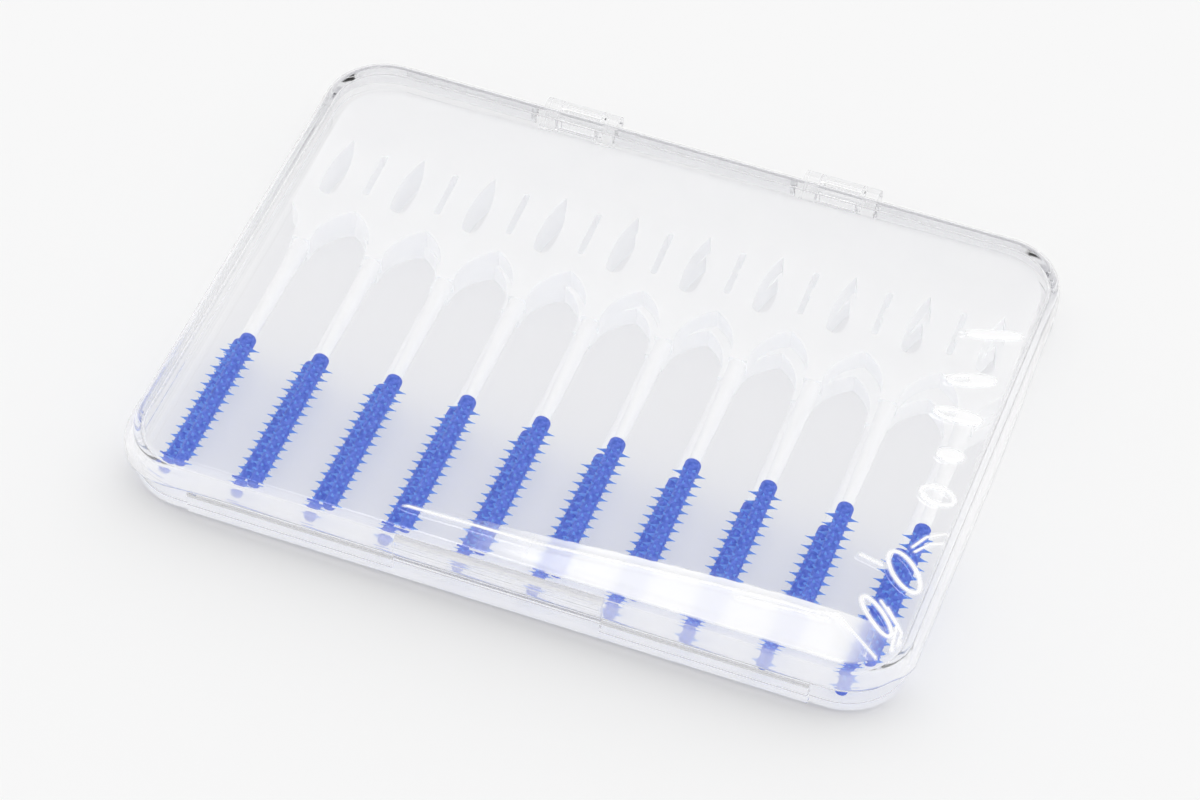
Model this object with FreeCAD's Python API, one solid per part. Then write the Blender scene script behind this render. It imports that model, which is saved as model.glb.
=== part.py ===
import FreeCAD, Part
import os

# A slim clear case with a hinged lid, holding two combs of soft interdental brushes.
# Millimetres, +Z up. The origin is under the middle of the whole object, on the surface it rests on.
# X runs along the front edge, Y from the catch at the front to the hinge at the back.

Vector = FreeCAD.Vector
X_AXIS = Vector(1, 0, 0)
Y_AXIS = Vector(0, 1, 0)
Z_AXIS = Vector(0, 0, 1)

# Comb of joined picks
picks_per_comb = 10
pick_pitch = 8.05
handle_overhang = 2.8
handle_length = 18.7
shaft_length = 19.7
comb_thickness = 2.3
comb_corner_radius = 5.5
arch_rise = 5.5
arch_shoulder_share = 0.436
arch_spread_share = 0.793
shaft_root_radius = 1.05
shaft_tip_radius = 0.6
shaft_blend_length = 4.5
neck_half_share = 0.95
core_root_radius = 0.45
core_end_radius = 0.28

# Windows in each handle
teardrop_radius = 0.95
teardrop_length = 8.5
teardrop_front_margin = 1.4
teardrop_waist_share = 0.55
teardrop_fullness_share = 0.95
slit_length = 6.2
slit_width = 0.68
slit_front_margin = 2.7

# Rubber sleeve with bristles
sleeve_length = 18.6
sleeve_sides = 8
sleeve_cap_radius = 0.9
sleeve_cap_length = 1.1
sleeve_root_radius = 0.8
sleeve_end_radius = 0.66
sleeve_round = 0.3
sleeve_end_wall = 1.0
bond_clearance = 0.02
bristle_sides = 4
bristle_rows = 14
bristle_first_row = 1.6
bristle_last_row = 0.6
side_bristle_root_reach = 1.75
side_bristle_end_reach = 1.25
face_bristle_root_reach = 1.12
face_bristle_end_reach = 0.92
bristle_root_half = 0.4

# Room round the combs
side_play = 1.2
end_play = 1.65
head_room = 0.6
rest_clearance = 0.05

# Case shell
wall = 0.85
floor_thickness = 0.8
lid_top_thickness = 0.8
base_wall_height = 2.7
parting_gap = 0.1
corner_radius = 6.6
outer_round = 1.0
inner_round = 0.4

# Proud panel along the base's front
panel_proud = 0.5
panel_end_margin = 1.6
panel_bottom_margin = 0.9
panel_top_margin = 0.15
panel_round = 0.25

# Catch: a tongue on the base clicks into a groove in the lid
tongue_length = 22.0
tongue_thickness = 0.55
tongue_rise = 1.2
tongue_gap = 0.1
bead_radius = 0.2
bead_drop = 0.45
groove_clearance = 0.1

# Hinge
hinge_span = 29.6
hinge_length = 8.3
hinge_setback = 2.2
knuckle_radius = 1.6
pin_radius = 0.8
pin_clearance = 0.08
lug_length = 1.7
lug_side_gap = 0.2
clip_mouth_share = 0.85

# Shrink film on the lid
film_thickness = 0.05
film_clearance = 0.1
film_edge_gap = 0.2
film_hinge_gap = 0.4

# How the combs lie at rest: shift from the middle of the case and turn in degrees
upper_shift_x = 0.85
upper_shift_y = 0.35
upper_turn = 1.16
lower_shift_x = -0.07
lower_shift_y = -0.2
lower_turn = -1.2

# One overrun serves every cut
overrun = 1.0

# Worked out from the sizes above
comb_length = handle_length + shaft_length + sleeve_length
comb_half_width = pick_pitch * (picks_per_comb - 1) / 2 + handle_overhang
inner_half_width = comb_half_width + side_play
inner_half_depth = comb_length / 2 + end_play
case_width = 2 * (inner_half_width + wall)
case_depth = 2 * (inner_half_depth + wall)
lower_rest = floor_thickness + rest_clearance
upper_rest = lower_rest + comb_thickness + rest_clearance
ceiling = upper_rest + comb_thickness + head_room
case_height = ceiling + lid_top_thickness
base_height = floor_thickness + base_wall_height
lid_bottom = base_height + parting_gap
film_skin = film_clearance + film_thickness
hinge_height = (case_height + film_skin) / 2
hinge_y = case_depth / 2 + hinge_setback
case_shift_y = (case_depth / 2 + panel_proud - hinge_y - knuckle_radius) / 2

# Stations along a pick, from the middle of the comb
rear_y = comb_length / 2
apex_y = rear_y - handle_length
spring_y = apex_y - arch_rise
cap_y = apex_y - shaft_length
neck_half = shaft_root_radius * neck_half_share
bristle_row_pitch = (sleeve_length - bristle_first_row - bristle_last_row) / (bristle_rows - 1)


def pick_places():
    """Distance of each pick's axis from the middle of the comb."""
    middle = (picks_per_comb - 1) / 2
    return [pick_pitch * (index - middle) for index in range(picks_per_comb)]


def gap_places():
    """Middle of each gap between picks, with the half gaps outside the end picks."""
    places = pick_places()
    return [place - pick_pitch / 2 for place in places] + [places[-1] + pick_pitch / 2]


def centred_box(width, depth, bottom, top, y=0):
    corner = Vector(-width / 2, y - depth / 2, bottom)
    return Part.makeBox(width, depth, top - bottom, corner)


def upright_edges(solid):
    """Straight edges of a solid that stand along Z."""
    upright = []
    for edge in solid.Edges:
        ends = [vertex.Point for vertex in edge.Vertexes]
        if len(ends) == 2 and abs((ends[1] - ends[0]).z) > edge.Length / 2:
            upright.append(edge)
    return upright


def edges_at_height(solid, height):
    """Level edges at the top or the bottom of a block."""
    reach = solid.BoundBox.ZLength / 4
    return [edge for edge in solid.Edges if abs(edge.CenterOfMass.z - height) < reach]


def rounded_block(width, depth, bottom, top, corner, round_height=None, edge_round=None):
    """Block with round upright corners, and one level edge loop rounded."""
    block = centred_box(width, depth, bottom, top)
    block = block.makeFillet(corner, upright_edges(block))
    if round_height is not None:
        block = block.makeFillet(edge_round, edges_at_height(block, round_height))
    return block


def outline_face(points_and_arcs):
    """Closed flat face from straight ends and three-point arcs."""
    return Part.Face(Part.Wire(points_and_arcs))


def line(start, end):
    return Part.LineSegment(start, end).toShape()


def arc(start, middle, end):
    return Part.Arc(start, middle, end).toShape()


def slot(length, width, thickness, bottom):
    """Straight slot with round ends, along Y, standing on a level."""
    half = (length - width) / 2
    radius = width / 2
    top_left = Vector(-radius, half, bottom)
    top_right = Vector(radius, half, bottom)
    low_left = Vector(-radius, -half, bottom)
    low_right = Vector(radius, -half, bottom)
    face = outline_face([
        arc(top_left, Vector(0, half + radius, bottom), top_right),
        line(top_right, low_right),
        arc(low_right, Vector(0, -half - radius, bottom), low_left),
        line(low_left, top_left),
    ])
    return face.extrude(Z_AXIS * thickness)


def teardrop_cutter():
    """Hole with a round front end and a pointed rear end, a little behind the line of the arches."""
    front = apex_y + teardrop_front_margin
    centre = front + teardrop_radius
    rear = front + teardrop_length
    waist_y = centre + (rear - centre) * teardrop_waist_share
    waist_x = teardrop_radius * teardrop_fullness_share
    low = -overrun
    tip = Vector(0, rear, low)
    right = Vector(teardrop_radius, centre, low)
    left = Vector(-teardrop_radius, centre, low)
    face = outline_face([
        arc(tip, Vector(waist_x, waist_y, low), right),
        arc(right, Vector(0, front, low), left),
        arc(left, Vector(-waist_x, waist_y, low), tip),
    ])
    return face.extrude(Z_AXIS * (comb_thickness + 2 * overrun))


def arch_cutter():
    """Pointed arch between two shafts, open towards the tips."""
    half_gap = pick_pitch / 2 - neck_half
    shoulder_y = apex_y - arch_rise * arch_shoulder_share
    shoulder_x = half_gap * arch_spread_share
    low = -overrun
    apex = Vector(0, apex_y, low)
    right = Vector(half_gap, spring_y, low)
    left = Vector(-half_gap, spring_y, low)
    below = Vector(0, -overrun, 0)
    face = outline_face([
        arc(apex, Vector(shoulder_x, shoulder_y, low), right),
        line(right, right + below),
        line(right + below, left + below),
        line(left + below, left),
        arc(left, Vector(-shoulder_x, shoulder_y, low), apex),
    ])
    return face.extrude(Z_AXIS * (comb_thickness + 2 * overrun))


def slit_cutter():
    """Narrow slot between two handles."""
    middle = apex_y + slit_front_margin + slit_length / 2
    cutter = slot(slit_length, slit_width, comb_thickness + 2 * overrun, -overrun)
    cutter.translate(Vector(0, middle, 0))
    return cutter


def handle_plate():
    """Flat plate of joined handles, with its rear corners rounded and its windows cut."""
    depth = rear_y - spring_y
    plate = centred_box(2 * comb_half_width, depth, 0, comb_thickness, (rear_y + spring_y) / 2)
    rear_corners = [edge for edge in upright_edges(plate) if edge.CenterOfMass.y > apex_y]
    plate = plate.makeFillet(comb_corner_radius, rear_corners)
    cutters = []
    for place in gap_places():
        cutters.append(arch_cutter().translated(Vector(place, 0, 0)))
    for place in gap_places()[1:-1]:
        cutters.append(slit_cutter().translated(Vector(place, 0, 0)))
    for place in pick_places():
        cutters.append(teardrop_cutter().translated(Vector(place, 0, 0)))
    return plate.cut(cutters).common(handle_side())


def handle_side():
    """Side view of the handles: full thickness, thinning from the arches to the necks."""
    middle = comb_thickness / 2
    side = -comb_half_width - overrun
    points = [
        Vector(side, rear_y + overrun, 0),
        Vector(side, apex_y, 0),
        Vector(side, spring_y, middle - neck_half),
        Vector(side, spring_y, middle + neck_half),
        Vector(side, apex_y, comb_thickness),
        Vector(side, rear_y + overrun, comb_thickness),
    ]
    face = Part.Face(Part.makePolygon(points + points[:1]))
    return face.extrude(X_AXIS * (-2 * side))


def pick_core(cap, clearance):
    """Thin core inside a sleeve, or with a clearance the bore that takes it."""
    core_length = sleeve_length - sleeve_end_wall + clearance
    stations = [(0, core_root_radius + clearance), (core_length, core_end_radius + clearance)]
    return spindle(stations, sleeve_sides, cap, -Y_AXIS, X_AXIS)


def pick_shaft(place):
    """Round shaft that slims towards the tip, with the thin core that the sleeve is moulded on."""
    middle = comb_thickness / 2
    root = Vector(place, spring_y + shaft_blend_length, middle)
    cap = Vector(place, cap_y, middle)
    shaft = Part.makeCone(shaft_root_radius, shaft_tip_radius, root.y - cap_y, root, -Y_AXIS)
    return [shaft, pick_core(cap, 0)]


def pick_comb():
    """Ten picks in one moulding, lying flat with its underside at zero."""
    shafts = []
    for place in pick_places():
        shafts += pick_shaft(place)
    return handle_plate().multiFuse(shafts).removeSplitter()


def flat_face(corners):
    """Flat face through its corners, where a corner that is named twice counts once."""
    kept = [corner for index, corner in enumerate(corners) if corner not in corners[:index]]
    return Part.Face(Part.makePolygon(kept + kept[:1]))


def spindle(stations, sides, place, along, across):
    """Flat-sided solid through (distance, corner radius) stations on an axis. A zero radius is a point."""
    step = 360 / sides
    spokes = [FreeCAD.Rotation(along, step * index).multVec(across) for index in range(sides)]
    rings = []
    for distance, radius in stations:
        rings.append([place + along * distance + spoke * radius for spoke in spokes])
    ends = ((rings[0], stations[0]), (rings[-1], stations[-1]))
    faces = [flat_face(ring) for ring, station in ends if station[1]]
    for ring, following in zip(rings, rings[1:]):
        for index in range(sides):
            after = (index + 1) % sides
            faces.append(flat_face([ring[index], ring[after], following[after], following[index]]))
    return Part.makeSolid(Part.makeShell(faces))


def sleeve_stations():
    """Distance from the cap's end and radius at each step of the bare sleeve: a cap, then a long taper."""
    return [
        (0, sleeve_cap_radius - sleeve_round),
        (sleeve_round, sleeve_cap_radius),
        (sleeve_cap_length, sleeve_cap_radius),
        (sleeve_cap_length + sleeve_round, sleeve_root_radius),
        (sleeve_length - sleeve_round, sleeve_end_radius),
        (sleeve_length, sleeve_end_radius - sleeve_round),
    ]


def spike_pair(y, direction, reach):
    """Two pointed bristles back to back on the sleeve's axis."""
    stations = [(-reach, 0), (0, bristle_root_half), (reach, 0)]
    return spindle(stations, bristle_sides, Vector(0, y, 0), direction, Y_AXIS)


def row_reach(row, root_reach, end_reach):
    """Bristles get shorter towards the free end."""
    return root_reach + (end_reach - root_reach) * row / (bristle_rows - 1)


def brush_sleeve():
    """Rubber sleeve along -Y with rows of pointed bristles, hollow for the pick's core."""
    cap = Vector(0, 0, 0)
    body = spindle(sleeve_stations(), sleeve_sides, cap, -Y_AXIS, X_AXIS)
    spikes = []
    for row in range(bristle_rows):
        y = -bristle_first_row - row * bristle_row_pitch
        side_reach = row_reach(row, side_bristle_root_reach, side_bristle_end_reach)
        spikes.append(spike_pair(y, X_AXIS, side_reach))
        if row < bristle_rows - 1:
            face_reach = row_reach(row, face_bristle_root_reach, face_bristle_end_reach)
            spikes.append(spike_pair(y - bristle_row_pitch / 2, Z_AXIS, face_reach))
    bore = pick_core(cap, bond_clearance)
    return body.multiFuse(spikes).cut(bore).removeSplitter()


def laid(shape, shift_x, shift_y, turn, rest):
    """A comb piece turned and shifted to where its comb lies in the case."""
    moved = shape.copy()
    moved.rotate(Vector(0, 0, 0), Z_AXIS, turn)
    moved.translate(Vector(shift_x, shift_y + case_shift_y, rest))
    return moved


def tray(bottom, top, round_height, cavity_bottom, cavity_top, cavity_round_height):
    """Half of the case: a rounded block with the space inside it taken out."""
    block = rounded_block(case_width, case_depth, bottom, top, corner_radius, round_height, outer_round)
    hollow = rounded_block(2 * inner_half_width, 2 * inner_half_depth, cavity_bottom, cavity_top,
                           corner_radius - wall, cavity_round_height, inner_round)
    return block.cut(hollow)


def front_panel():
    """Proud panel along the straight stretch of the base's front wall."""
    length = case_width - 2 * (corner_radius + panel_end_margin)
    depth = panel_proud + wall / 2
    y = -case_depth / 2 - panel_proud + depth / 2
    panel = centred_box(length, depth, panel_bottom_margin, base_height - panel_top_margin, y)
    front = [edge for edge in panel.Edges if edge.CenterOfMass.y < y - depth / 4]
    return panel.makeFillet(panel_round, front)


def catch_bead(radius, length):
    """Round bead along X at the catch."""
    y = -inner_half_depth + tongue_gap
    z = base_height + tongue_rise - bead_drop
    return Part.makeCylinder(radius, length, Vector(-length / 2, y, z), X_AXIS)


def catch_tongue():
    """Upright tongue behind the front wall, with the bead that holds the lid shut."""
    y = -inner_half_depth + tongue_gap + tongue_thickness / 2
    top = base_height + tongue_rise
    tongue = centred_box(tongue_length, tongue_thickness, floor_thickness / 2, top, y)
    foot_depth = tongue_gap + wall / 2
    foot_y = -inner_half_depth + tongue_gap - foot_depth / 2
    foot = centred_box(tongue_length, foot_depth, floor_thickness / 2, base_height, foot_y)
    bead = catch_bead(bead_radius, tongue_length - 2 * bead_radius)
    return [tongue, foot, bead]


def hinge_places():
    return (-hinge_span / 2, hinge_span / 2)


def barrel(radius, length, x):
    """Round bar along the hinge axis, starting at x."""
    return Part.makeCylinder(radius, length, Vector(x, hinge_y, hinge_height), X_AXIS)


def hinge_lugs(place):
    """Two lugs on the base's rear wall with the pin between them."""
    start = place - hinge_length / 2
    end = place + hinge_length / 2 - lug_length
    reach = hinge_setback + wall / 2
    bottom = hinge_height - knuckle_radius
    pieces = [barrel(pin_radius, hinge_length, start)]
    for x in (start, end):
        corner = Vector(x, hinge_y - reach, bottom)
        pieces.append(Part.makeBox(lug_length, reach, base_height - bottom, corner))
        pieces.append(barrel(knuckle_radius, lug_length, x))
    return pieces


def hinge_clip(place):
    """Arm on the lid's rear wall that ends in a clip round the pin, open below to snap on."""
    bore_radius = pin_radius + pin_clearance
    length = hinge_length - 2 * (lug_length + lug_side_gap)
    x = place - length / 2
    reach = hinge_setback + wall / 2
    bottom = max(lid_bottom, hinge_height)
    corner = Vector(x, hinge_y - reach, bottom)
    arm = Part.makeBox(length, reach, hinge_height + knuckle_radius - bottom, corner)
    clip = arm.fuse(barrel(knuckle_radius, length, x))
    mouth_width = 2 * pin_radius * clip_mouth_share
    mouth_corner = Vector(x, hinge_y - mouth_width / 2, hinge_height - knuckle_radius - overrun)
    mouth = Part.makeBox(length, mouth_width, knuckle_radius + overrun, mouth_corner)
    return clip.cut([barrel(bore_radius, length, x), mouth])


def case_base():
    shell = tray(0, base_height, 0, floor_thickness, base_height + overrun, floor_thickness)
    pieces = [front_panel()] + catch_tongue()
    for place in hinge_places():
        pieces += hinge_lugs(place)
    return shell.multiFuse(pieces).removeSplitter()


def case_lid():
    shell = tray(lid_bottom, case_height, case_height, lid_bottom - overrun, ceiling, ceiling)
    shell = shell.cut(catch_bead(bead_radius + groove_clearance, tongue_length))
    return shell.multiFuse([hinge_clip(place) for place in hinge_places()]).removeSplitter()


def lid_film():
    """Thin film over the lid's top and walls, notched round the hinge clips."""
    bottom = lid_bottom + film_edge_gap
    top = case_height + film_skin
    outer = rounded_block(case_width + 2 * film_skin, case_depth + 2 * film_skin, bottom, top,
                          corner_radius + film_skin, top, outer_round + film_skin)
    inner_top = case_height + film_clearance
    inner = rounded_block(case_width + 2 * film_clearance, case_depth + 2 * film_clearance, bottom - overrun,
                          inner_top, corner_radius + film_clearance, inner_top, outer_round + film_clearance)
    notches = []
    for place in hinge_places():
        length = hinge_length + 2 * film_hinge_gap
        notch_top = hinge_height + knuckle_radius + film_hinge_gap
        corner = Vector(place - length / 2, case_depth / 2 - wall, bottom - overrun)
        notches.append(Part.makeBox(length, wall + hinge_setback, notch_top - bottom + overrun, corner))
    return outer.cut([inner] + notches)


def write(shape, name):
    solids = shape.Solids
    assert len(solids) == 1 and solids[0].isValid(), name
    solids[0].exportStep(os.path.join("parts", name + ".step"))


def main():
    os.makedirs("parts", exist_ok=True)
    centring = Vector(0, case_shift_y, 0)
    write(case_base().translated(centring), "case_base")
    write(case_lid().translated(centring), "case_lid")
    write(lid_film().translated(centring), "lid_film")
    comb = pick_comb()
    sleeve = brush_sleeve()
    layers = (
        ("upper", upper_shift_x, upper_shift_y, upper_turn, upper_rest),
        ("lower", lower_shift_x, lower_shift_y, lower_turn, lower_rest),
    )
    for layer, shift_x, shift_y, turn, rest in layers:
        write(laid(comb, shift_x, shift_y, turn, rest), layer + "_pick_comb")
        for number, place in enumerate(pick_places(), start=1):
            tip = sleeve.translated(Vector(place, cap_y, comb_thickness / 2))
            write(laid(tip, shift_x, shift_y, turn, rest), "%s_brush_tip_%02d" % (layer, number))
    print("case %.2f x %.2f x %.2f mm" % (case_width, case_depth, case_height))


main()
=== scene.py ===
import math

import bmesh
import bpy
from mathutils import Matrix, Vector, noise


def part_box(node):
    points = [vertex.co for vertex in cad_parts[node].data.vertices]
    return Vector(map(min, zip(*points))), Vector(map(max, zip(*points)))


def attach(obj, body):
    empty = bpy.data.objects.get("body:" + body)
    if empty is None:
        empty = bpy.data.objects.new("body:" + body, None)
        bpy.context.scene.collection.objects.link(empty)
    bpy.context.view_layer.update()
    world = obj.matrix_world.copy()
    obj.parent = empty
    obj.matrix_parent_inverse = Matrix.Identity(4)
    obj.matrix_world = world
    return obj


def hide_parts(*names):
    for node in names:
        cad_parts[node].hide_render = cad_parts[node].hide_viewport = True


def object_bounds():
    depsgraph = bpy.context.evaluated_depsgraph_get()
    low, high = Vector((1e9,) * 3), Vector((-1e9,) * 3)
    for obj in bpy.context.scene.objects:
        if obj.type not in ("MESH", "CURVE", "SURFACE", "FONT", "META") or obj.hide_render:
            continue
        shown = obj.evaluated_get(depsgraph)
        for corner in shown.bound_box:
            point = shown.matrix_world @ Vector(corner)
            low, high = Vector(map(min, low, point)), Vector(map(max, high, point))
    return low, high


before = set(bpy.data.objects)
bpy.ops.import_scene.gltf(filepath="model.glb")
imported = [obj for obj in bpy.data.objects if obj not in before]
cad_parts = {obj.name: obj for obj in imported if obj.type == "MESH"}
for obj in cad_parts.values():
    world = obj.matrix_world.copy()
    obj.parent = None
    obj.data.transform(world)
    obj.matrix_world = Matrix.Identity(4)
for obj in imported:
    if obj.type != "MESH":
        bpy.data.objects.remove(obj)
cad_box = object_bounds()

# Metres throughout. mm turns a size in millimetres into metres.
mm = 0.001

# Camera, fitted to the photograph's edges of the case and rows of picks
image_width_px = 1200
focal_length_px = 4300
sensor_width_mm = 36
camera_azimuth = 18.545
camera_elevation = 48.151
camera_roll = 2.551
camera_distance = 439.64 * mm
camera_clip_start = 0.01
camera_aim = Vector((1.145, -5.829, 3.586)) * mm

# Light: a bright surround with one dim patch, which the flat lid mirrors, and a round soft box beside it.
# The soft box is made of discs of rising size, so that its edge is soft.
surround_level = 1.15
patch_level = 0.42
patch_azimuth = 198.5
patch_elevation = 48.0
patch_inner_angle = 12
patch_outer_angle = 42
soft_box_azimuth = 206.0
soft_box_elevation = 62.0
soft_box_distance = 1.0
soft_box_diameters = (0.12, 0.19, 0.26)
soft_box_radiance = 1.2
floor_size = 6.0
floor_gap = 0.01 * mm
floor_colour = (0.93, 0.93, 0.93)

# Light that has met more surfaces than deepest_path goes straight on through the plastics
deepest_path = 7
most_clear_surfaces = 40
flat_face_limit = 0.999

# What the two halves of the case let through: their colour, and on walls that face the front a dark tint that
# is painted shade, cast on the floor in front of the case, not the plastic's own colour
base_tint = (0.992, 0.992, 0.994)
base_front_shade = (0.2, 0.2, 0.25)
lid_tint = (0.998, 0.998, 0.999)
lid_front_shade = (0.7, 0.7, 0.73)

# Brush tip: sleeve and bristles
layers = ("upper", "lower")
picks = 10
sleeve_segments = 20
cap_length = 1.1 * mm
cap_radius = 0.86 * mm
root_radius = 0.78 * mm
end_radius = 0.64 * mm
edge_round = 0.28 * mm
bristle_rows = 14
bristle_first_row = 1.6 * mm
bristle_row_pitch = 1.2615 * mm
side_reach = (1.75 * mm, 1.27 * mm)
face_reach = (1.12 * mm, 0.92 * mm)
face_lean = 38
bristle_root_radius = 0.5 * mm
bristle_point_radius = 0.03 * mm
bristle_sink = 0.25 * mm
bristle_segments = 10
bristle_rings = 8
bristle_taper_power = 1.6

# Shrink film over the lid
film_thickness = 0.04 * mm
film_corner_radius = 6.75 * mm
film_edge_radius = 1.15 * mm
film_edge_steps = 5
film_wall_steps = 8
film_step_coarse = 0.8 * mm
film_step_fine = 0.13 * mm
film_fine_length = 10.0 * mm
film_row_step = 0.15 * mm
hinge_places = (-14.8 * mm, 14.8 * mm)
hinge_notch_half = 4.55 * mm
hinge_notch_height = 1.75 * mm
crease_setback = (3.5 * mm, 5.5 * mm)
crease_height = 0.5 * mm
crease_fade = 1.6 * mm
# Painted highlight: how white the film is between its front edge and the crease
crease_highlight = 0.6
crease_start = -8 * mm
crease_full = 15 * mm
crease_end = (33 * mm, 40 * mm)
wave_length = 9.0 * mm
wave_height = 0.03 * mm
wave_slice = 0.5
pouch_reach = 5.0 * mm
pouch_depth = 1.1 * mm
right_slack = 0.6 * mm
right_slack_reach = 1.0 * mm
ripple_height = 0.06 * mm
ripple_length = 4.0 * mm
slack_drop = 2.0 * mm
lift_edge = 1.2 * mm
fold_height = 0.22 * mm
fold_width = 0.36 * mm
oval_line_half = 0.22 * mm
long_line_half = 0.15 * mm
fold_region = 24.0 * mm
fold_strip = 8.0 * mm
wall_haze = 0.2
haze_roughness = 0.35

# Each oval fold below is a raised ridge of the film that also gets a painted white highlight along its line
# Oval folds near the film's right end, in millimetres from the film's middle: place along X and Y,
# half length, half breadth, turn in degrees, and the share that is a solid bar, where 0 is a plain ring
oval_folds = (
    (36.7, 16.4, 2.5, 0.36, 17, 1.0),
    (36.3, 9.5, 2.3, 0.6, 18, 0.55),
    (36.5, 4.35, 2.3, 0.66, 2, 0.55),
    (37.4, -1.0, 1.2, 0.62, 5, 1.0),
    (37.8, -6.55, 1.75, 1.02, -9, 0.0),
    (37.7, -17.2, 2.75, 1.15, -47, 0.0),
    (36.9, -23.6, 2.7, 0.75, -44, 0.0),
)

# Long thin folds, each a raised ridge with a painted white highlight along it, as the points that they pass,
# in millimetres from the film's middle
long_folds = (
    ((37.5, -13.9), (38.4, -12.2), (40.0, -11.0)),
    ((37.9, -14.4), (39.0, -12.9), (40.2, -12.2)),
    ((36.7, -21.6), (39.1, -23.9), (39.6, -27.8)),
    ((37.6, -22.2), (39.8, -24.6), (39.9, -27.0)),
    ((33.4, -25.1), (36.4, -27.1), (39.0, -28.9)),
    ((21.0, -26.0), (27.7, -25.6), (30.8, -25.6), (33.4, -25.1)),
    ((24.0, -26.5), (28.4, -26.2), (32.6, -25.9)),
    ((18.0, -30.1), (29.3, -30.2), (36.0, -30.0)),
    ((33.0, -16.7), (35.4, -17.2)),
    ((-10.5, -27.5), (3.9, -27.3), (12.0, -26.7), (21.0, -26.0)),
)


def node_material(name):
    """An empty node material with its output."""
    material = bpy.data.materials.new(name)
    material.use_nodes = True
    tree = material.node_tree
    tree.nodes.clear()
    output = tree.nodes.new("ShaderNodeOutputMaterial")
    return material, tree, output


def add_node(tree, kind, **values):
    """A node with its named inputs or properties set."""
    node = tree.nodes.new(kind)
    for key, value in values.items():
        if key in node.inputs:
            node.inputs[key].default_value = value
        else:
            setattr(node, key, value)
    return node


def noise_range(tree, scale, low, high, detail=3.0):
    """Noise in object space, spread between two values."""
    place = add_node(tree, "ShaderNodeTexCoord")
    grain = add_node(tree, "ShaderNodeTexNoise", Scale=scale, Detail=detail)
    spread = add_node(tree, "ShaderNodeMapRange")
    spread.inputs["From Min"].default_value = 0.3
    spread.inputs["From Max"].default_value = 0.7
    spread.inputs["To Min"].default_value = low
    spread.inputs["To Max"].default_value = high
    tree.links.new(place.outputs["Object"], grain.inputs["Vector"])
    tree.links.new(grain.outputs["Fac"], spread.inputs["Value"])
    return spread.outputs["Result"]


def add_bump(tree, shader, scale, distance, strength):
    """Fine unevenness of the surface."""
    height = noise_range(tree, scale, 0, 1)
    bump = add_node(tree, "ShaderNodeBump", Strength=strength, Distance=distance)
    tree.links.new(height, bump.inputs["Height"])
    tree.links.new(bump.outputs["Normal"], shader.inputs["Normal"])


def colour_range(tree, shader, factor, first, second):
    """Base colour between two colours."""
    ramp = add_node(tree, "ShaderNodeMix", data_type="RGBA")
    ramp.inputs["A"].default_value = (*first, 1)
    ramp.inputs["B"].default_value = (*second, 1)
    tree.links.new(factor, ramp.inputs["Factor"])
    tree.links.new(ramp.outputs["Result"], shader.inputs["Base Color"])
    return ramp


def flat_faces(tree):
    """1 on faces that lie flat in the closed case and 0 on walls and rounded edges."""
    place = add_node(tree, "ShaderNodeTexCoord")
    split = add_node(tree, "ShaderNodeSeparateXYZ")
    upright = add_node(tree, "ShaderNodeMath", operation="ABSOLUTE")
    flat = add_node(tree, "ShaderNodeMath", operation="GREATER_THAN")
    flat.inputs[1].default_value = flat_face_limit
    tree.links.new(place.outputs["Normal"], split.inputs[0])
    tree.links.new(split.outputs["Z"], upright.inputs[0])
    tree.links.new(upright.outputs[0], flat.inputs[0])
    return flat.outputs[0]


def let_light_through(tree, shader, output, tint, share, *places):
    """Lets a share of lamp and bounced light straight through the shader, and of all light at some places."""
    see_through = add_node(tree, "ShaderNodeBsdfTransparent", Color=(*tint, 1))
    path = add_node(tree, "ShaderNodeLightPath")
    deep = add_node(tree, "ShaderNodeMath", operation="GREATER_THAN")
    deep.inputs[1].default_value = deepest_path
    tree.links.new(path.outputs["Ray Depth"], deep.inputs[0])
    factor = path.outputs["Is Shadow Ray"]
    for source in (path.outputs["Is Diffuse Ray"], deep.outputs[0], *places):
        either = add_node(tree, "ShaderNodeMath", operation="MAXIMUM")
        tree.links.new(factor, either.inputs[0])
        tree.links.new(source, either.inputs[1])
        factor = either.outputs[0]
    part = add_node(tree, "ShaderNodeMath", operation="MULTIPLY")
    part.inputs[1].default_value = share
    mix = add_node(tree, "ShaderNodeMixShader")
    tree.links.new(factor, part.inputs[0])
    tree.links.new(part.outputs[0], mix.inputs["Fac"])
    tree.links.new(shader.outputs[0], mix.inputs[1])
    tree.links.new(see_through.outputs[0], mix.inputs[2])
    tree.links.new(mix.outputs[0], output.inputs["Surface"])
    return see_through


def shade_front(tree, see_through, tint, front_shade):
    """Makes walls that face the front pass less light, so that the floor in front of them is in shade."""
    place = add_node(tree, "ShaderNodeNewGeometry")
    split = add_node(tree, "ShaderNodeSeparateXYZ")
    facing = add_node(tree, "ShaderNodeMath", operation="MULTIPLY", use_clamp=True)
    facing.inputs[1].default_value = -1
    colour = add_node(tree, "ShaderNodeMix", data_type="RGBA")
    colour.inputs["A"].default_value = (*tint, 1)
    colour.inputs["B"].default_value = (*front_shade, 1)
    tree.links.new(place.outputs["Normal"], split.inputs[0])
    tree.links.new(split.outputs["Y"], facing.inputs[0])
    tree.links.new(facing.outputs[0], colour.inputs["Factor"])
    tree.links.new(colour.outputs["Result"], see_through.inputs["Color"])


def case_material(name, tint, front_shade):
    """Clear moulded plastic of half the case, which bends light only at its walls and rounded edges."""
    material, tree, output = node_material(name)
    plastic = add_node(tree, "ShaderNodeBsdfPrincipled", IOR=1.3)
    plastic.inputs["Base Color"].default_value = (0.995, 0.996, 0.998, 1)
    plastic.inputs["Transmission Weight"].default_value = 1
    tree.links.new(noise_range(tree, scale=400, low=0.02, high=0.06), plastic.inputs["Roughness"])
    add_bump(tree, plastic, scale=400, distance=0.004 * mm, strength=0.5)
    see_through = let_light_through(tree, plastic, output, tint, 1, flat_faces(tree))
    # Painted shade: walls that face the front pass less light, to shade the floor in front of the case
    shade_front(tree, see_through, tint, front_shade)
    return material


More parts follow.
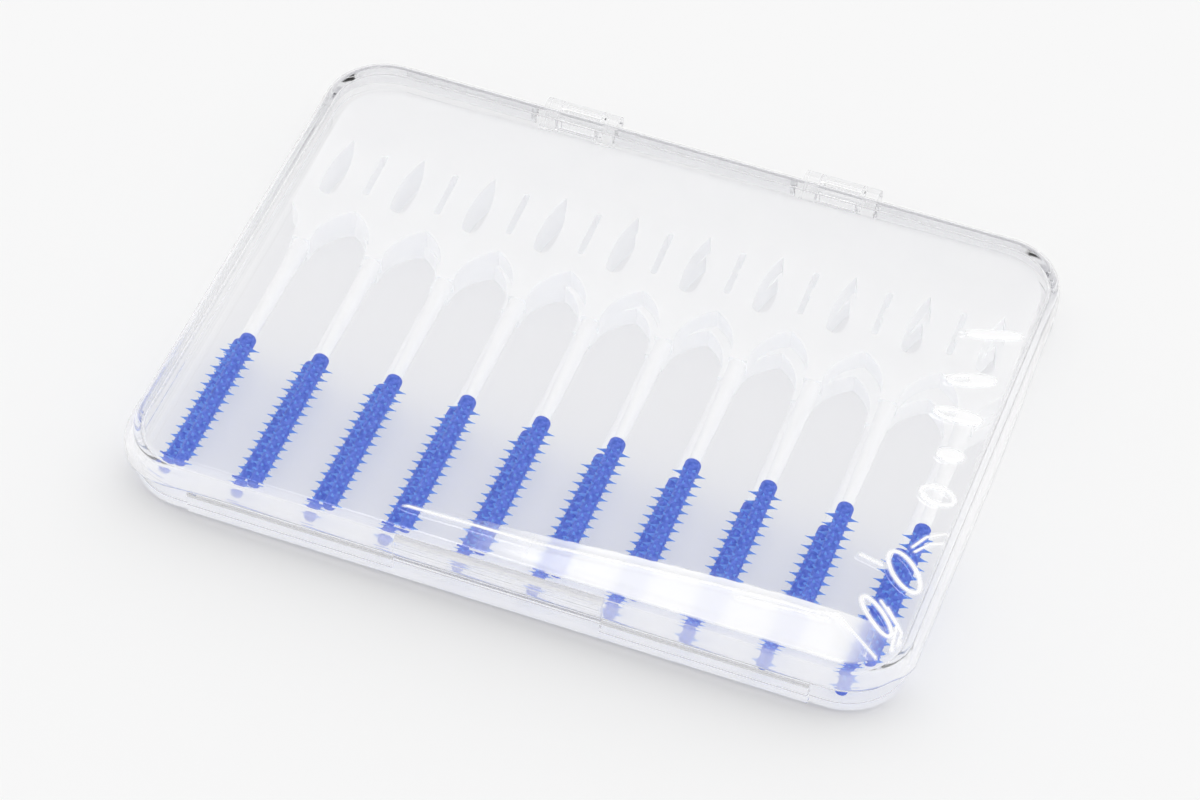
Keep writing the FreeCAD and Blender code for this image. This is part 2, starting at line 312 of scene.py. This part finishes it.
def film_material():
    """Clear film with painted white highlights along its folds and in front of its crease, and a little white
    haze down its walls.
    """
    material, tree, output = node_material("clear_film")
    plastic = add_node(tree, "ShaderNodeBsdfPrincipled", IOR=1.5)
    plastic.inputs["Base Color"].default_value = (0.99, 0.99, 0.995, 1)
    highlight_and_haze = add_node(tree, "ShaderNodeAttribute", attribute_name="highlight_and_haze")
    # Painted white highlights: the film turns less clear, whiter and rougher where the attribute's share is
    # high
    clear = add_node(tree, "ShaderNodeMath", operation="SUBTRACT")
    clear.inputs[0].default_value = 1
    rough = add_node(tree, "ShaderNodeMath", operation="MULTIPLY_ADD")
    rough.inputs[1].default_value = haze_roughness
    tree.links.new(highlight_and_haze.outputs["Fac"], clear.inputs[1])
    tree.links.new(clear.outputs[0], plastic.inputs["Transmission Weight"])
    tree.links.new(highlight_and_haze.outputs["Fac"], rough.inputs[0])
    tree.links.new(noise_range(tree, scale=700, low=0.015, high=0.05), rough.inputs[2])
    tree.links.new(rough.outputs[0], plastic.inputs["Roughness"])
    add_bump(tree, plastic, scale=700, distance=0.003 * mm, strength=0.5)
    let_light_through(tree, plastic, output, (0.998, 0.998, 0.999), 1)
    return material


def milky_material():
    """Milky moulded plastic of the picks, which lets most light through."""
    material, tree, output = node_material("milky_plastic")
    plastic = add_node(tree, "ShaderNodeBsdfPrincipled", IOR=1.45)
    plastic.inputs["Subsurface Weight"].default_value = 0.5
    plastic.inputs["Subsurface Radius"].default_value = (1.0, 1.0, 1.0)
    plastic.inputs["Subsurface Scale"].default_value = 1.0 * mm
    plastic.inputs["Specular IOR Level"].default_value = 0.3
    cloud = noise_range(tree, scale=180, low=0, high=1)
    colour_range(tree, plastic, cloud, (0.95, 0.955, 0.963), (0.975, 0.978, 0.98))
    tree.links.new(noise_range(tree, scale=900, low=0.36, high=0.5), plastic.inputs["Roughness"])
    add_bump(tree, plastic, scale=2500, distance=0.01 * mm, strength=0.3)
    let_light_through(tree, plastic, output, (0.995, 0.996, 0.998), 0.97)
    return material


def rubber_material():
    """Mottled blue rubber, with painted light at the bristle points: a paler blue that stands in for their
    glints and for light shining through the thin rubber.
    """
    material, tree, output = node_material("blue_rubber")
    rubber = add_node(tree, "ShaderNodeBsdfPrincipled", IOR=1.45)
    glow_share = add_node(tree, "ShaderNodeAttribute", attribute_name="thin_point_glow")
    mottle = noise_range(tree, scale=2600, low=0, high=1)
    body = colour_range(tree, rubber, mottle, (0.025, 0.085, 0.55), (0.11, 0.2, 0.76))
    # Painted glow and highlight: the blue turns paler along each bristle towards its point
    ramp = add_node(tree, "ShaderNodeMix", data_type="RGBA")
    ramp.inputs["B"].default_value = (0.13, 0.34, 0.85, 1)
    tree.links.new(glow_share.outputs["Fac"], ramp.inputs["Factor"])
    tree.links.new(body.outputs["Result"], ramp.inputs["A"])
    tree.links.new(ramp.outputs["Result"], rubber.inputs["Base Color"])
    tree.links.new(noise_range(tree, scale=3000, low=0.38, high=0.55), rubber.inputs["Roughness"])
    rubber.inputs["Specular IOR Level"].default_value = 0.3
    rubber.inputs["Subsurface Weight"].default_value = 0.2
    rubber.inputs["Subsurface Radius"].default_value = (0.3, 0.5, 1.0)
    rubber.inputs["Subsurface Scale"].default_value = 0.3 * mm
    add_bump(tree, rubber, scale=3500, distance=0.015 * mm, strength=0.4)
    let_light_through(tree, rubber, output, (0.93, 0.95, 0.99), 0.93)
    return material


def floor_material():
    """Plain pale table top."""
    material, tree, output = node_material("pale_floor")
    paint = add_node(tree, "ShaderNodeBsdfPrincipled", Roughness=0.7)
    paint.inputs["Base Color"].default_value = (*floor_colour, 1)
    paint.inputs["Specular IOR Level"].default_value = 0.1
    tree.links.new(paint.outputs[0], output.inputs["Surface"])
    return material


def mesh_object(name, data, material):
    """A linked mesh object with one material, shaded smooth."""
    mesh = bpy.data.meshes.new(name)
    data.to_mesh(mesh)
    data.free()
    mesh.shade_smooth()
    piece = bpy.data.objects.new(name, mesh)
    bpy.context.scene.collection.objects.link(piece)
    mesh.materials.append(material)
    return piece


def lathe(data, profile, segments):
    """Closed body of revolution along -Y through (distance, radius) points that start and end on the axis."""
    rings = []
    for distance, radius in profile:
        if radius == 0:
            rings.append([data.verts.new((0, -distance, 0))])
            continue
        ring = []
        for index in range(segments):
            angle = math.tau * index / segments
            ring.append(data.verts.new((radius * math.cos(angle), -distance, radius * math.sin(angle))))
        rings.append(ring)
    close_rings(data, rings, segments)


def close_rings(data, rings, segments):
    """Faces between rings, where a ring of one point closes to a fan."""
    for ring, following in zip(rings, rings[1:]):
        for index in range(segments):
            after = (index + 1) % segments
            corners = []
            for group, place in ((ring, index), (ring, after), (following, after), (following, index)):
                corner = group[place % len(group)]
                if corner not in corners:
                    corners.append(corner)
            data.faces.new(corners)


def between(pair, share):
    """Value part of the way from the first of a pair to the second."""
    return pair[0] + (pair[1] - pair[0]) * share


def smooth_share(value, low, high):
    """Smooth step from 0 at low to 1 at high."""
    share = max(0, min(1, (value - low) / (high - low)))
    return share * share * (3 - 2 * share)


def sleeve_profile(length):
    """Half section of the sleeve: a rounded cap, a small step and a long taper to a rounded end."""
    points = [(0, 0)]
    steps = 4
    for index in range(steps + 1):
        angle = math.radians(90) * index / steps
        points.append((edge_round * (1 - math.cos(angle)), cap_radius - edge_round * (1 - math.sin(angle))))
    points.append((cap_length, cap_radius))
    points.append((cap_length + edge_round / 2, root_radius))
    taper_steps = 12
    taper_start = cap_length + edge_round
    taper_end = length - edge_round
    for index in range(taper_steps + 1):
        share = index / taper_steps
        points.append((between((taper_start, taper_end), share), between((root_radius, end_radius), share)))
    for index in range(1, steps + 1):
        angle = math.radians(90) * index / steps
        distance = length - edge_round * (1 - math.sin(angle))
        points.append((distance, end_radius - edge_round * (1 - math.cos(angle))))
    points.append((length, 0))
    return points


def add_bristle(data, layer, place, direction, reach):
    """One thorn-shaped bristle from inside the sleeve to a fine point."""
    across = direction.cross(Vector((0, 1, 0)))
    rings = [[data.verts.new(place + direction * bristle_sink)]]
    for step in range(bristle_rings):
        share = step / (bristle_rings - 1)
        middle = place + direction * between((bristle_sink, reach), share)
        radius = between((bristle_point_radius, bristle_root_radius), (1 - share) ** bristle_taper_power)
        ring = []
        for index in range(bristle_segments):
            angle = math.tau * index / bristle_segments
            spoke = across * math.cos(angle) + Vector((0, math.sin(angle), 0))
            corner = data.verts.new(middle + spoke * radius)
            corner[layer] = share
            ring.append(corner)
        rings.append(ring)
    end = data.verts.new(place + direction * (reach + bristle_point_radius))
    end[layer] = 1
    rings.append([end])
    close_rings(data, rings, bristle_segments)


def tip_mesh(length):
    """Sleeve and bristles in one mesh, with the cap's end at the origin and the free end towards -Y."""
    data = bmesh.new()
    # Share along each bristle from root to point, which the rubber turns into a painted glow and highlight at
    # the points
    layer = data.verts.layers.float.new("thin_point_glow")
    lathe(data, sleeve_profile(length), sleeve_segments)
    side, face = Vector((1, 0, 0)), Vector((0, 0, 1))
    for row in range(bristle_rows):
        share = row / (bristle_rows - 1)
        y = -bristle_first_row - row * bristle_row_pitch
        for sign in (1, -1):
            add_bristle(data, layer, Vector((0, y, 0)), side * sign, between(side_reach, share))
            if row == bristle_rows - 1:
                continue
            middle = Vector((0, y - bristle_row_pitch / 2, 0))
            add_bristle(data, layer, middle, face * sign, between(face_reach, share))
            for lean in (face_lean, -face_lean):
                leaning = Matrix.Rotation(math.radians(lean), 3, "Y") @ face * sign
                add_bristle(data, layer, Vector((0, y, 0)), leaning, between(face_reach, share))
    bmesh.ops.recalc_face_normals(data, faces=data.faces)
    return data


def end_middle(points, rear):
    """Middle of the rear or front end of a node's points."""
    ys = [point.y for point in points]
    reach = edge_round
    chosen = [p for p in points if (p.y > max(ys) - reach if rear else p.y < min(ys) + reach)]
    low = Vector([min(p[axis] for p in chosen) for axis in range(3)])
    high = Vector([max(p[axis] for p in chosen) for axis in range(3)])
    middle = (low + high) / 2
    middle.y = max(ys) if rear else min(ys)
    return middle


def add_tips(material):
    """A detailed tip in the place of each CAD sleeve, along that sleeve's own axis."""
    shared = None
    for layer in layers:
        for number in range(1, picks + 1):
            node = "%s_brush_tip_%02d" % (layer, number)
            points = [vertex.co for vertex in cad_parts[node].data.vertices]
            cap = end_middle(points, True)
            along = end_middle(points, False) - cap
            if shared is None:
                shared = mesh_object("tip_shape", tip_mesh(along.length), material)
            tip = bpy.data.objects.new(node.replace("brush_tip", "bristled_tip"), shared.data)
            bpy.context.scene.collection.objects.link(tip)
            turn = math.atan2(along.x, -along.y)
            tip.matrix_world = Matrix.Translation(cap) @ Matrix.Rotation(turn, 4, "Z")
            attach(tip, layer + "_comb")
            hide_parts(node)
    bpy.data.objects.remove(shared)


def oval_gap(place, fold):
    """Distance from a point to an oval fold's line, or none within its solid share."""
    centre_x, centre_y, half_length, half_breadth, turn, solid_share = fold
    angle = math.radians(turn)
    dx, dy = place.x - centre_x, place.y - centre_y
    u = (dx * math.cos(angle) + dy * math.sin(angle)) / half_length
    v = (dy * math.cos(angle) - dx * math.sin(angle)) / half_breadth
    spread = math.hypot(u, v)
    if spread < 1 and u > 1 - 2 * solid_share:
        return 0
    steepness = math.hypot(u / half_length, v / half_breadth)
    if steepness == 0:
        return half_breadth
    return abs(spread * (spread - 1) / steepness)


def segment_gap(place, start, end):
    """Distance from a point to a segment."""
    along = end - start
    share = max(0, min(1, (place - start).dot(along) / along.length_squared))
    return (place - start - along * share).length


def fold_gaps(x, y):
    """Distances from a point of the film to its nearest oval fold and its nearest long one."""
    place = Vector((x, y)) / mm
    ovals = [oval_gap(place, fold) for fold in oval_folds]
    lines = []
    for fold in long_folds:
        points = [Vector(point) for point in fold]
        lines += [segment_gap(place, start, end) for start, end in zip(points, points[1:])]
    return min(ovals) * mm, min(lines) * mm


def crease_lift(x, from_front):
    """Height of the tent of slack film along the front edge, up to its crease, and the painted white
    highlight in front of the crease.
    """
    strength = smooth_share(x, crease_start, crease_full) * (1 - smooth_share(x, *crease_end))
    setback = between(crease_setback, smooth_share(x, crease_start, crease_end[0]))
    if from_front < setback:
        # Painted white highlight on the slope in front of the crease
        return crease_height * strength * max(0, from_front) / setback, crease_highlight * strength
    return crease_height * strength * math.exp(-(from_front - setback) / crease_fade), 0


def film_lift(x, y, half_width, half_depth):
    """Height of the film over the lid's flat top, and its painted white highlight there."""
    lift, highlight_and_haze = crease_lift(x, y + half_depth)
    lift += wave_height * noise.noise(Vector((x, y, wave_slice)) / wave_length)
    if x > fold_region or y + half_depth < fold_strip:
        oval, line = fold_gaps(x, y)
        lift += fold_height * math.exp(-(min(oval, line) / fold_width) ** 2)
        # Painted white highlight along each fold's line
        highlight_and_haze = max(highlight_and_haze, math.exp(-(oval / oval_line_half) ** 4), math.exp(-(line / long_line_half) ** 4))
    edge = min(y + half_depth, half_width - x, x + half_width, half_depth - y)
    return lift * smooth_share(edge, 0, lift_edge), highlight_and_haze


def film_stations(half_width):
    """Places of the film's columns, closer together near the right end."""
    places = []
    x = -half_width
    while x < half_width - film_fine_length:
        places.append(x)
        x += film_step_coarse
    count = math.ceil((half_width - x) / film_step_fine)
    step = (half_width - x) / count
    return places + [x + step * index for index in range(count + 1)]


def rounded_place(x, y, half_width, half_depth, radius):
    """Moves a point of a rectangle to the same place in one with round corners."""
    dx = abs(x) - (half_width - radius)
    dy = abs(y) - (half_depth - radius)
    if dx <= 0 or dy <= 0:
        return x, y
    s, t = dx / radius, dy / radius
    new_x = half_width - radius + radius * s * math.sqrt(1 - t * t / 2)
    new_y = half_depth - radius + radius * t * math.sqrt(1 - s * s / 2)
    return math.copysign(new_x, x), math.copysign(new_y, y)


def outward(x, y, half_width, half_depth, radius):
    """Direction square to the rounded outline at a point on it."""
    dx = max(0, abs(x) - (half_width - radius))
    dy = max(0, abs(y) - (half_depth - radius))
    return Vector((math.copysign(dx, x), math.copysign(dy, y), 0)).normalized()


def film_mesh():
    """Film over the lid's top and down its walls, open round the hinges."""
    low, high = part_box("lid_film")
    centre = (low + high) / 2
    half_width = (high.x - low.x) / 2 - film_edge_radius
    half_depth = (high.y - low.y) / 2 - film_edge_radius
    radius = film_corner_radius - film_edge_radius
    columns = film_stations(half_width)
    rows = math.ceil(2 * half_depth / film_row_step)
    data = bmesh.new()
    layer = data.verts.layers.float.new("highlight_and_haze")
    grid = []
    for x in columns:
        line = []
        for index in range(rows + 1):
            y = between((-half_depth, half_depth), index / rows)
            place = rounded_place(x, y, half_width, half_depth, radius)
            lift, highlight_and_haze = film_lift(*place, half_width, half_depth)
            corner = data.verts.new((centre.x + place[0], centre.y + place[1], high.z + lift))
            corner[layer] = highlight_and_haze
            line.append(corner)
        grid.append(line)
    for left, right in zip(grid, grid[1:]):
        for index in range(rows):
            data.faces.new((left[index], right[index], right[index + 1], left[index + 1]))
    rim = [line[0] for line in grid] + grid[-1][1:]
    rim += [line[-1] for line in reversed(grid[:-1])] + list(reversed(grid[0][1:-1]))
    loops = [rim] + film_wall_loops(data, layer, rim, centre, low.z, half_width, half_depth, radius)
    notch_top = low.z + hinge_notch_height
    for loop, below in zip(loops, loops[1:]):
        for index, corner in enumerate(loop):
            after = (index + 1) % len(loop)
            corners = (below[index], below[after], loop[after], corner)
            middle = sum((c.co for c in corners), Vector()) / len(corners)
            at_hinge = any(abs(middle.x - place) < hinge_notch_half for place in hinge_places)
            if middle.y > centre.y + half_depth and at_hinge and middle.z < notch_top:
                continue
            data.faces.new(corners)
    loose = [vertex for vertex in data.verts if not vertex.link_faces]
    bmesh.ops.delete(data, geom=loose, context="VERTS")
    bmesh.ops.recalc_face_normals(data, faces=data.faces)
    return data


def wall_slack(x, y, drop, half_width, half_depth):
    """How far the film's wall stands off the lid: a pouch at the front left corner, loose at the right."""
    from_corner = math.hypot(x + half_width, y + half_depth)
    slack = pouch_depth * math.exp(-(from_corner / pouch_reach) ** 2)
    at_right = smooth_share(x, half_width - right_slack_reach, half_width)
    slack += right_slack * at_right * (1 - smooth_share(y, 0, half_depth))
    slack += ripple_height * noise.noise(Vector((x, y, drop)) / ripple_length)
    return slack * smooth_share(drop, 0, slack_drop)


def film_wall_loops(data, layer, rim, centre, bottom, half_width, half_depth, radius):
    """Loops that carry the film's edge over the lid's rounded rim and down its walls."""
    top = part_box("lid_film")[1].z
    loops = []
    steps = [math.radians(90) * (index + 1) / film_edge_steps for index in range(film_edge_steps)]
    profile = [(film_edge_radius * math.sin(a), film_edge_radius * (1 - math.cos(a))) for a in steps]
    wall = top - film_edge_radius - bottom
    for index in range(film_wall_steps):
        profile.append((film_edge_radius, film_edge_radius + wall * (index + 1) / film_wall_steps))
    for offset, drop in profile:
        loop = []
        for vertex in rim:
            x, y = vertex.co.x - centre.x, vertex.co.y - centre.y
            way = outward(x, y, half_width, half_depth, radius)
            slack = wall_slack(x, y, drop, half_width, half_depth)
            place = Vector((vertex.co.x, vertex.co.y, top - drop)) + way * (offset + slack)
            corner = data.verts.new(place)
            corner[layer] = wall_haze * smooth_share(drop, 0, film_edge_radius)
            loop.append(corner)
        loops.append(loop)
    return loops


def add_film(material):
    film = mesh_object("wrinkled_film", film_mesh(), material)
    solid = film.modifiers.new("thickness", "SOLIDIFY")
    solid.thickness = film_thickness
    solid.offset = -1
    evaluated = film.evaluated_get(bpy.context.evaluated_depsgraph_get())
    film.data = bpy.data.meshes.new_from_object(evaluated)
    film.modifiers.clear()
    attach(film, "lid")
    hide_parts("lid_film")
    return film


def paint_nodes(names, material):
    """Gives CAD nodes their finish."""
    for name in names:
        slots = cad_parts[name].data.materials
        slots.clear()
        slots.append(material)


def add_floor():
    data = bmesh.new()
    bmesh.ops.create_grid(data, x_segments=1, y_segments=1, size=floor_size / 2)
    floor = mesh_object("floor", data, floor_material())
    floor.location.z = cad_box[0].z - floor_gap


def direction(azimuth, elevation):
    """Unit vector from the object: azimuth 0 is in front of it and 90 to its right."""
    a, e = math.radians(azimuth), math.radians(elevation)
    return Vector((math.sin(a) * math.cos(e), -math.cos(a) * math.cos(e), math.sin(e)))


def add_light():
    """Soft box that only shines in glossy surfaces: discs one behind the other, all facing the object."""
    way = direction(soft_box_azimuth, soft_box_elevation)
    for number, diameter in enumerate(soft_box_diameters):
        lamp = bpy.data.lights.new("soft_box", "AREA")
        lamp.shape = "DISK"
        lamp.size = diameter
        lamp.energy = soft_box_radiance * math.pi * math.pi * diameter ** 2 / 4
        holder = bpy.data.objects.new("soft_box", lamp)
        holder.location = way * (soft_box_distance + number * mm)
        holder.rotation_euler = way.to_track_quat("Z", "Y").to_euler()
        holder.visible_diffuse = False
        bpy.context.scene.collection.objects.link(holder)


def add_surround():
    """Bright surround with a dim patch behind the object."""
    world = bpy.data.worlds.new("surround")
    bpy.context.scene.world = world
    world.use_nodes = True
    tree = world.node_tree
    tree.nodes.clear()
    place = add_node(tree, "ShaderNodeTexCoord")
    nearness = add_node(tree, "ShaderNodeVectorMath", operation="DOT_PRODUCT")
    nearness.inputs[1].default_value = direction(patch_azimuth, patch_elevation)
    level = add_node(tree, "ShaderNodeMapRange", interpolation_type="SMOOTHSTEP")
    level.inputs["From Min"].default_value = math.cos(math.radians(patch_outer_angle))
    level.inputs["From Max"].default_value = math.cos(math.radians(patch_inner_angle))
    level.inputs["To Min"].default_value = surround_level
    level.inputs["To Max"].default_value = patch_level
    background = add_node(tree, "ShaderNodeBackground", Color=(1, 1, 1, 1))
    output = add_node(tree, "ShaderNodeOutputWorld")
    tree.links.new(place.outputs["Generated"], nearness.inputs[0])
    tree.links.new(nearness.outputs["Value"], level.inputs["Value"])
    tree.links.new(level.outputs["Result"], background.inputs["Strength"])
    tree.links.new(background.outputs[0], output.inputs["Surface"])


def add_camera():
    back = direction(camera_azimuth, camera_elevation)
    level = Vector((0, 0, 1)).cross(back).normalized()
    lift = back.cross(level)
    roll = math.radians(camera_roll)
    right = level * math.cos(roll) + lift * math.sin(roll)
    up = back.cross(right)
    lens = bpy.data.cameras.new("camera")
    lens.sensor_width = sensor_width_mm
    lens.lens = focal_length_px / image_width_px * sensor_width_mm
    lens.clip_start = camera_clip_start
    camera = bpy.data.objects.new("camera", lens)
    turn = Matrix((right, up, back)).transposed().to_4x4()
    camera.matrix_world = Matrix.Translation(camera_aim + back * camera_distance) @ turn
    bpy.context.scene.collection.objects.link(camera)
    bpy.context.scene.camera = camera


paint_nodes(["case_base"], case_material("clear_base", base_tint, base_front_shade))
paint_nodes(["case_lid"], case_material("clear_lid", lid_tint, lid_front_shade))
paint_nodes(["%s_pick_comb" % layer for layer in layers], milky_material())
add_tips(rubber_material())
add_film(film_material())
add_floor()
add_light()
add_surround()
add_camera()
bpy.context.scene.cycles.transparent_max_bounces = most_clear_surfaces
bpy.context.scene.view_settings.view_transform = "Standard"
